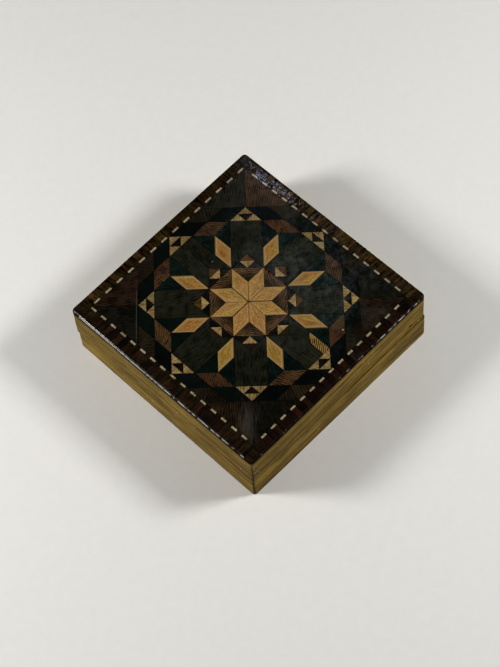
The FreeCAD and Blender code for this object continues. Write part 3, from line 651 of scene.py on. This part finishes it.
def dirt_by_line(tree, colour, place, row):
    """Dirt that has settled along both joints of the dashed line."""
    outwards = add(tree, "SeparateXYZ", {0: place}, "Y")
    off_middle = off_line(tree, outwards, row["middle"])
    off_joint = off_line(tree, off_middle, HALF_LINE)
    dirt = add(tree, "MapRange", {"Value": off_joint, 1: 0.06, 2: 0.2, 3: 0.8, 4: 0.0})
    return add(tree, "Mix", {0: dirt, 6: colour, 7: linear("#1A140C")}, 2, data_type="RGBA")


def painted_edge_highlight(tree, colour, place, row):
    """A painted highlight: pale grey on the rounded edge, strongest towards one end of the side and in crumbs
    along the rest.
    """
    along, height = (add(tree, "SeparateXYZ", {0: place}, axis) for axis in "XZ")
    off_edge = off_line(tree, height, EDGE)
    on_edge = add(tree, "MapRange", {"Value": off_edge, 1: 0.12, 2: 0.3, 3: 0.9, 4: 0.0})
    crumbs = add(tree, "TexNoise", {"Vector": place, "Scale": 1 / HIGHLIGHT_CRUMB, "Detail": 3.0}, "Fac")
    most, least = row["edge_highlight_ends"]
    variation = add(tree, "MapRange", {"Value": along, 1: most, 2: least, 3: 0.3, 4: -0.1})
    crumbs = add(tree, "Math", {0: crumbs, 1: variation}, operation="ADD")
    crumbs = add(tree, "MapRange", {"Value": crumbs, 1: 0.5, 2: 0.65})
    highlight_share = add(tree, "Math", {0: crumbs, 1: on_edge}, operation="MULTIPLY")
    # The pale grey on the rounded edge is a painted highlight.
    return add(tree, "Mix", {0: highlight_share, 6: colour, 7: linear("#B8B6B0")}, 2, data_type="RGBA")


def film_left(tree, place, row):
    """How much polish there is: none below the rounding, which never had any, and none along a bare rim."""
    outwards, height = (add(tree, "SeparateXYZ", {0: place}, axis) for axis in "YZ")
    # It ends within 0.15 mm on the rounding, and within 0.5 mm at a bare rim.
    film = add(tree, "MapRange", {"Value": height, 1: LID_TOP - 0.4, 2: LID_TOP - 0.25, 4: row["film"]})
    rim = row["bare_rim"] - HALF_SIDE
    inwards = add(tree, "MapRange", {"Value": outwards, 1: rim - 0.4, 2: rim + 0.1})
    return add(tree, "Math", {0: film, 1: inwards}, operation="MULTIPLY")


print("the dashed line is", 2 * HALF_LINE, "mm wide between its dirty joints")

# %% Border tool
LID_MIDDLE = Vector((0, 0, 0))
STREAK = (1, 12, 1)


def row_wood(name, pale, dark, row, *, contrast, spread, seed, quarters=0):
    """A wood of the stringing or the border, with the grain across the side."""
    material, tree = new_finish(name)
    place = lid_place(tree, LID_MIDDLE, quarters)
    along = add(tree, "SeparateXYZ", {0: place}, "X")
    per_block, start = 1 / row["block"], -row["first"] / row["block"]
    blocks = add(tree, "Math", {0: along, 1: per_block, 2: start}, operation="MULTIPLY_ADD")
    number = add(tree, "Math", {0: blocks}, operation="FLOOR")
    luck = luck_of(tree, seed, number, float(quarters))
    _, fibres, clouds = fibres_and_clouds(tree, place, luck, QUARTER)
    # Streaks run out to the edge and don't keep to the blocks.
    streaks = streaky(tree, place, STREAK, detail=4.0, roughness=0.65)
    streaks = add(tree, "MapRange", {"Value": streaks, 1: 0.36, 2: 0.64})
    layers = streaks, fibres, clouds
    colour = stained(tree, layers, luck, pale, dark, figure=1.0, contrast=contrast, spread=spread)
    colour = dirt_by_line(tree, colour, place, row)
    colour = painted_edge_highlight(tree, colour, place, row)
    colour = aged(tree, colour, lid_place(tree))
    polished(
        tree, colour, fibres, place, unevenness=row["unevenness"], film=film_left(tree, place, row),
        softness=row["softness"], shine=0.0,
    )
    return material


print("streaks are", STREAK[0], "mm wide and", STREAK[1], "mm long")

# %% Border woods
for quarters, (side, row) in enumerate(ROWS.items()):
    # Kingwood is streaked brown, dyed pear is streaked nearly black, and holly is a plain ivory.
    streaked = dict(quarters=quarters, contrast=2.4, spread=0.5)
    plain = dict(quarters=quarters, contrast=1.5, spread=0.12)
    kingwood = row_wood(f"kingwood {side}", row["brown"], "#0C0603", row, seed=3, **streaked)
    dyed = row_wood(f"dyed pear {side}", row["black"], "#050302", row, seed=5, **streaked)
    holly = row_wood(f"holly {side}", "#A89A7C", "#786A4E", row, seed=7, **plain)
    put_on(kingwood, f"border_{side}_brown")
    put_on(dyed, f"border_{side}_black", f"stringing_{side}_black")
    put_on(holly, f"stringing_{side}_light")
corner_wood = row_wood(
    "kingwood corners", CORNERS["brown"], "#0A0703", CORNERS, contrast=1.8, spread=0.2, seed=9,
)
put_on(corner_wood, "border_corners")

# %% [markdown]
# ## The walls
# The walls are oak, planed along the grain and only waxed, so they are duller than the lid. They show long
# lines from end to end, some of them dark where dirt has settled in the pores, and a few pale chips. The
# mitres have opened a little towards the foot, and the shade in them is painted as a black line. The parting
# line is black with dirt in places.
# Four materials could serve four walls. Instead the angle round the box tells which wall it is, and the noise
# is laid along that wall, so that one finish does for all four.
# Growth lines are about 1.6 mm apart. Pores are 0.1 mm wide in life, and are drawn 0.4 mm wide to show.

# %% Oak boards
OAK_LINE, OAK_PORE = (50, 1.6, 1.6), (6, 0.4, 0.4)


def wall_board(tree, place, seed):
    """Where it is along its own wall, outwards and up, and its spot in the plank."""
    x, y, up = (add(tree, "SeparateXYZ", {0: place}, axis) for axis in "XYZ")
    angle = add(tree, "Math", {0: y, 1: x}, operation="ARCTAN2")
    number, local = turned_to_first(tree, place, angle, count=4)
    outwards, along = (add(tree, "SeparateXYZ", {0: local}, axis) for axis in "XY")
    board = add(tree, "CombineXYZ", {"X": along, "Y": up, "Z": outwards})
    luck = luck_of(tree, seed, number)
    sawn = add(tree, "VectorMath", {0: luck, 1: PLANK, 2: board}, operation="MULTIPLY_ADD")
    return along, outwards, up, sawn


def oak_grain(tree, sawn):
    """Oak's growth lines and pores, each from 0 to 1, and the colour that they give, with pale painted glints
    where the pore noise is lowest.
    """
    growth = streaky(tree, sawn, OAK_LINE, detail=5.0, roughness=0.7)
    pores = streaky(tree, sawn, OAK_PORE, detail=4.0, roughness=0.65)
    share = add(tree, "MapRange", {"Value": growth, 1: 0.4, 2: 0.6})
    colour = add(tree, "Mix", {0: share, 6: linear("#8E742C"), 7: linear("#543C14")}, 2, data_type="RGBA")
    streak = add(tree, "MapRange", {"Value": pores, 1: 0.52, 2: 0.64, 4: 0.85})
    colour = add(tree, "Mix", {0: streak, 6: colour, 7: linear("#38280E")}, 2, data_type="RGBA")
    # Pale flecks where the pore noise is lowest are painted glints.
    painted_glint = add(tree, "MapRange", {"Value": pores, 1: 0.43, 2: 0.34, 4: 0.6})
    colour = add(tree, "Mix", {0: painted_glint, 6: colour, 7: linear("#A48A4A")}, 2, data_type="RGBA")
    return growth, pores, colour


print("oak's growth lines are", OAK_LINE[1], "mm apart and its pores", OAK_PORE[1], "mm wide")

# %% Dirt in the parting line and painted shade in the mitres
PARTING = 10.06


def dirt_and_painted_shade_in_joints(tree, colour, growth, along, outwards, up):
    """Dirt in the parting line, ragged by the growth lines, and painted shade in the open mitres."""
    off_parting = off_line(tree, up, PARTING)
    ragged = add(tree, "Math", {0: growth, 1: 1.2, 2: off_parting}, operation="MULTIPLY_ADD")
    grime = add(tree, "MapRange", {"Value": ragged, 1: 0.45, 2: 0.8, 3: 0.7, 4: 0.0})
    colour = add(tree, "Mix", {0: grime, 6: colour, 7: linear("#1E1608")}, 2, data_type="RGBA")
    # The mitre lies where the place along the wall equals the place outwards. It gapes by 0.1 mm at the top
    # and by 0.45 mm at the foot, and the shade in the gap is painted as a dark line.
    reach = add(tree, "Math", {0: along}, operation="ABSOLUTE")
    from_mitre = add(tree, "Math", {0: outwards, 1: reach}, operation="SUBTRACT")
    gape = add(tree, "MapRange", {"Value": up, 1: 0.0, 2: 22.0, 3: 0.45, 4: 0.1})
    open_mitre = add(tree, "Math", {0: from_mitre, 1: gape}, operation="DIVIDE")
    joint = add(tree, "MapRange", {"Value": open_mitre, 1: 0.6, 2: 1.4, 3: 0.9, 4: 0.0})
    # The dark line along the mitre is painted shade.
    return add(tree, "Mix", {0: joint, 6: colour, 7: linear("#221A08")}, 2, data_type="RGBA")


print("the walls part", PARTING, "mm above the floor")

# %% Marks on the walls
BRAD = (31.2, -HALF_SIDE, 12.2)
CHIP_SPACING, HANDLED_LENGTH = 14, 15


def top_band_and_rust(tree, colour, growth, place, up):
    """A dark band, ragged by the growth lines, along the top of the lid's walls, and rust round the brad."""
    ragged = add(tree, "Math", {0: growth, 1: 1.0, 2: up}, operation="MULTIPLY_ADD")
    # Darker in a ragged band along the top of the lid's walls, just below the border.
    top_band = add(tree, "MapRange", {"Value": ragged, 1: 21.2, 2: 21.7, 4: 0.9})
    colour = add(tree, "Mix", {0: top_band, 6: colour, 7: linear("#1C1408")}, 2, data_type="RGBA")
    rust = add(tree, "VectorMath", {0: place, 1: BRAD}, "Value", operation="DISTANCE")
    rust = add(tree, "MapRange", {"Value": rust, 1: 0.5, 2: 0.85, 3: 0.95, 4: 0.0})
    return add(tree, "Mix", {0: rust, 6: colour, 7: linear("#0C0804")}, 2, data_type="RGBA")


def chipped_and_handled(tree, colour, sawn):
    """A few pale chips, about 0.4 mm wide, and stretches that hands have made darker or lighter."""
    chips = add(tree, "TexVoronoi", {
        "Vector": sawn, "Scale": 1 / CHIP_SPACING,
    }, "Distance", voronoi_dimensions="2D")
    speck = add(tree, "MapRange", {"Value": chips, 1: 0.012, 2: 0.02, 3: 0.7, 4: 0.0})
    colour = add(tree, "Mix", {0: speck, 6: colour, 7: linear("#D0CBB0")}, 2, data_type="RGBA")
    variation = add(tree, "TexNoise", {
        "Vector": sawn, "Scale": 1 / HANDLED_LENGTH, "Detail": 3.0, "Roughness": 0.6,
    }, "Fac")
    tone = add(tree, "MapRange", {"Value": variation, 1: 0.3, 2: 0.7, 3: 0.7, 4: 1.15})
    return add(tree, "HueSaturation", {"Value": tone, "Color": colour})


print("chips are about", CHIP_SPACING, "mm apart")


# %% Oak walls
def oak_walls(name, place_of, seed):
    """Waxed oak for four walls: long dull lines, and only a hint of gleam."""
    material, tree = new_finish(name)
    place = place_of(tree)
    along, outwards, up, sawn = wall_board(tree, place, seed)
    growth, pores, colour = oak_grain(tree, sawn)
    colour = dirt_and_painted_shade_in_joints(tree, colour, growth, along, outwards, up)
    colour = top_band_and_rust(tree, colour, growth, place, up)
    colour = chipped_and_handled(tree, colour, sawn)
    roughness = add(tree, "MapRange", {"Value": pores, 3: 0.4, 4: 0.62})
    normal = add(tree, "Bump", {"Height": pores, "Strength": 1.0, "Distance": 0.03 / MM_PER_M})
    shader = add(tree, "BsdfPrincipled", {
        "Base Color": colour, "Roughness": roughness, "IOR": WOOD_IOR, "Specular IOR Level": 0.04,
        "Normal": normal,
    })
    add(tree, "OutputMaterial", {"Surface": shader})
    return material


base_oak = oak_walls("waxed oak base", box_place, seed=2)
lid_oak = oak_walls("waxed oak lid", lambda tree: lid_place(tree, LID_MIDDLE), seed=4)
put_on(base_oak, *(f"base_wall_{side}" for side in ROWS))
put_on(lid_oak, *(f"lid_wall_{side}" for side in ROWS))

# %% [markdown]
# ## Inside the box
# The boards are bare pine and the corner blocks bare beech. Neither is polished, so they are rough and pale,
# and the veneer's grain serves again without its film.
# Pine has wide growth lines, about 2.6 mm apart, and beech has fine ones.


# %% Bare woods
def bare_wood(name, pale, dark, lines, figure):
    """Planed wood with no finish."""
    material, tree = new_finish(name)
    luck = add(tree, "TexWhiteNoise", {"Vector": (1.0, 2.0, lines)}, "Color", noise_dimensions="3D")
    layers = grain(tree, box_place(tree), luck, lines, wander=7.0, direction=0.0, swing=0.02)
    colour = stained(tree, layers, luck, pale, dark, figure, contrast=1.5, spread=0.0)
    _, fibres, _ = layers
    normal = add(tree, "Bump", {"Height": fibres, "Strength": 1.0, "Distance": 0.05 / MM_PER_M})
    shader = add(tree, "BsdfPrincipled", {
        "Base Color": colour, "Roughness": 0.75, "IOR": WOOD_IOR, "Normal": normal,
    })
    add(tree, "OutputMaterial", {"Surface": shader})
    return material


# Pine is straw yellow and plainly lined. Beech is redder and nearly even.
put_on(bare_wood("bare pine", "#B4915A", "#86642F", lines=2.6, figure=0.55), "base_bottom", "lid_board")
put_on(
    bare_wood("bare beech", "#A87E50", "#785430", lines=0.9, figure=0.4), "base_glue_blocks", "keeper_block",
    "base_pivot_block", "lid_glue_blocks", "lid_pivot_block", "lid_lock_block",
)

# %% [markdown]
# ## Metal
# The screw, washer, stop pin and lock pin are turned brass, gone brown in spots. The lathe leaves fine rings,
# about 0.1 mm apart, which are drawn 0.25 mm apart to show. The brad is iron wire, rusted dark brown.
# Both are one finish with other colours, because rust only takes the metal's gleam away.

# %% Brass and iron
TARNISH_SPOT, RING = 1.5, (10 / 3, 10 / 3, 0.25)


def metal(name, bright, dull, rough, bare):
    """Turned or drawn metal with tarnish. Bare is 1 for clean metal and 0 for rust, which is no metal."""
    material, tree = new_finish(name)
    place = box_place(tree)
    tarnish = add(tree, "TexNoise", {"Vector": place, "Scale": 1 / TARNISH_SPOT, "Detail": 4.0}, "Fac")
    marks = streaky(tree, place, RING, detail=2.0)
    colour = add(tree, "Mix", {0: tarnish, 6: linear(bright), 7: linear(dull)}, 2, data_type="RGBA")
    roughness = add(tree, "MapRange", {"Value": tarnish, 3: rough - 0.1, 4: rough + 0.2})
    normal = add(tree, "Bump", {"Height": marks, "Strength": 1.0, "Distance": 0.01 / MM_PER_M})
    shader = add(tree, "BsdfPrincipled", {
        "Base Color": colour, "Metallic": bare, "Roughness": roughness, "Specular IOR Level": 0.5 * bare,
        "Normal": normal,
    })
    add(tree, "OutputMaterial", {"Surface": shader})
    return material


# Brass gives a warm blurred gleam, and rust gives none.
brass = metal("turned brass", "#D8B36A", "#8A6A34", rough=0.32, bare=1.0)
rusty = metal("rusty iron wire", "#1C120A", "#080503", rough=0.7, bare=0.0)
put_on(brass, "pivot_screw", "pivot_washer", "stop_pin", "lock_pin")
put_on(rusty, "lock_block_brad")

# %% [markdown]
# ## Floor and light
# The box stands on a plain floor of pale matt paper, which shows soft shadows and no gleam. Two soft lamps,
# left and right, give the shadows on both sides and the bright lines along the rounded edges. A picture of a
# room could light it too, but lamps can be moved one at a time. The room is pale near the horizon and dark
# overhead, because a polished top shows the ceiling, and a bright one would turn the dark woods grey.
# A narrow lamp, a little blue like daylight, stands high behind the box. It shows only as a broken gleam on
# the polish of the right border, near the back corner.

# %% Floor
# The paper changes from lit to evenly pale between these distances from the box, in millimetres.
LIT_REACH, PALE_REACH = 190.0, 340.0
FLECK = 3
bpy.ops.mesh.primitive_plane_add(size=6)
floor = bpy.context.object
floor.name = "floor"
material, tree = new_finish("matt paper floor")
place = box_place(tree)
flecks = add(tree, "TexNoise", {"Vector": place, "Scale": 1 / FLECK, "Detail": 3.0}, "Fac")
shade = add(tree, "Mix", {0: flecks, 6: linear("#F2F0EA"), 7: linear("#ECEAE4")}, 2, data_type="RGBA")
near = add(tree, "BsdfPrincipled", {"Base Color": shade, "Roughness": 0.9})
# Away from the box the paper is seen evenly pale, and gives no light to the box.
far = add(tree, "Emission", {"Color": linear("#DEDDD8"), "Strength": 1.0})
reach = add(tree, "VectorMath", {0: place}, "Value", operation="LENGTH")
away = add(tree, "MapRange", {"Value": reach, 1: LIT_REACH, 2: PALE_REACH}, interpolation_type="SMOOTHSTEP")
seen = add(tree, "LightPath", {}, "Is Camera Ray")
for way in ("Is Glossy Ray", "Is Transmission Ray"):
    seen = add(tree, "Math", {0: seen, 1: add(tree, "LightPath", {}, way)}, operation="MAXIMUM")
away = add(tree, "Math", {0: away, 1: seen}, operation="MULTIPLY")
add(tree, "OutputMaterial", {"Surface": add(tree, "MixShader", {0: away, 1: near, 2: far})})
floor.data.materials.append(material)
print("floor is", floor.dimensions[0], "m wide")


# %% Lamps
def soft_lamp(name, spot, towards, distance, size, watts, tint="#FFFFFF"):
    """A lamp that looks at a spot of the lid, in millimetres, from a direction.

    Its distance and its size are in metres."""
    lamp = bpy.data.objects.new(name, bpy.data.lights.new(name, "AREA"))
    bpy.context.scene.collection.objects.link(lamp)
    way = Vector(towards).normalized()
    lamp.location = Vector((*spot, LID_TOP)) / MM_PER_M + way * distance
    # The lamp's own y lies along the sides of the box, as nearly as its direction lets it.
    across = Vector((0, 1, 0)).cross(way).normalized()
    lamp.rotation_euler = Matrix((across, way.cross(across), way)).transposed().to_euler()
    lamp.data.shape = "RECTANGLE"
    lamp.data.size, lamp.data.size_y = size
    lamp.data.energy = watts
    lamp.data.color = linear(tint)[:3]
    print(name, "stands at", [round(v, 2) for v in lamp.location])


soft_lamp("left lamp", (0, 0), (-0.640, 0.527, 0.558), 0.5, (0.12, 0.12), watts=1.8)
soft_lamp("right lamp", (0, 0), (0.578, -0.504, 0.642), 0.5, (0.12, 0.12), watts=1.6)
soft_lamp(
    "narrow lamp", (36.5, 47.0), (0.36, 0.384, 0.851), 1.0, (0.012, 0.036), watts=0.0175, tint="#CDDDFF",
)

# %% Room
HORIZON, OVERHEAD = 0.32, 0.02
world = bpy.data.worlds.new("studio")
bpy.context.scene.world = world
world.use_nodes = True
tree = world.node_tree
tree.nodes.clear()
up = add(tree, "SeparateXYZ", {0: add(tree, "TexCoord", {}, "Generated")}, "Z")
strength = add(tree, "MapRange", {
    "Value": up, 1: 0.05, 2: 0.75, 3: HORIZON, 4: OVERHEAD,
}, interpolation_type="SMOOTHSTEP")
sky = add(tree, "Background", {"Color": linear("#FFFFFF"), "Strength": strength})
add(tree, "OutputWorld", {"Surface": sky})
bpy.context.scene.view_settings.view_transform = "Standard"
print("room goes from", HORIZON, "at the horizon to", OVERHEAD, "overhead")

# %% [markdown]
# ## Camera
# The camera looks down at the front corner from about 0.7 m, with a lens of 119 mm on a frame 36 mm high. It
# could be placed by eye, but here the place and the turn were found by matching the corners of the box and of
# the star's pieces, so that every piece is seen where it should be.

# %% Camera
CAMERA_PLACE = (-0.208103, -0.246781, 0.604166)
CAMERA_TURN = (28.0827, 3.0235, -45.6655)
camera = bpy.data.objects.new("camera", bpy.data.cameras.new("camera"))
bpy.context.scene.collection.objects.link(camera)
camera.location = CAMERA_PLACE
camera.rotation_euler = Euler([math.radians(angle) for angle in CAMERA_TURN])
camera.data.sensor_fit = "VERTICAL"
camera.data.sensor_height = 36
camera.data.lens = 118.71
camera.data.clip_start = 0.01
bpy.context.scene.camera = camera
print("camera is", round(camera.location.length, 3), "m from the origin")
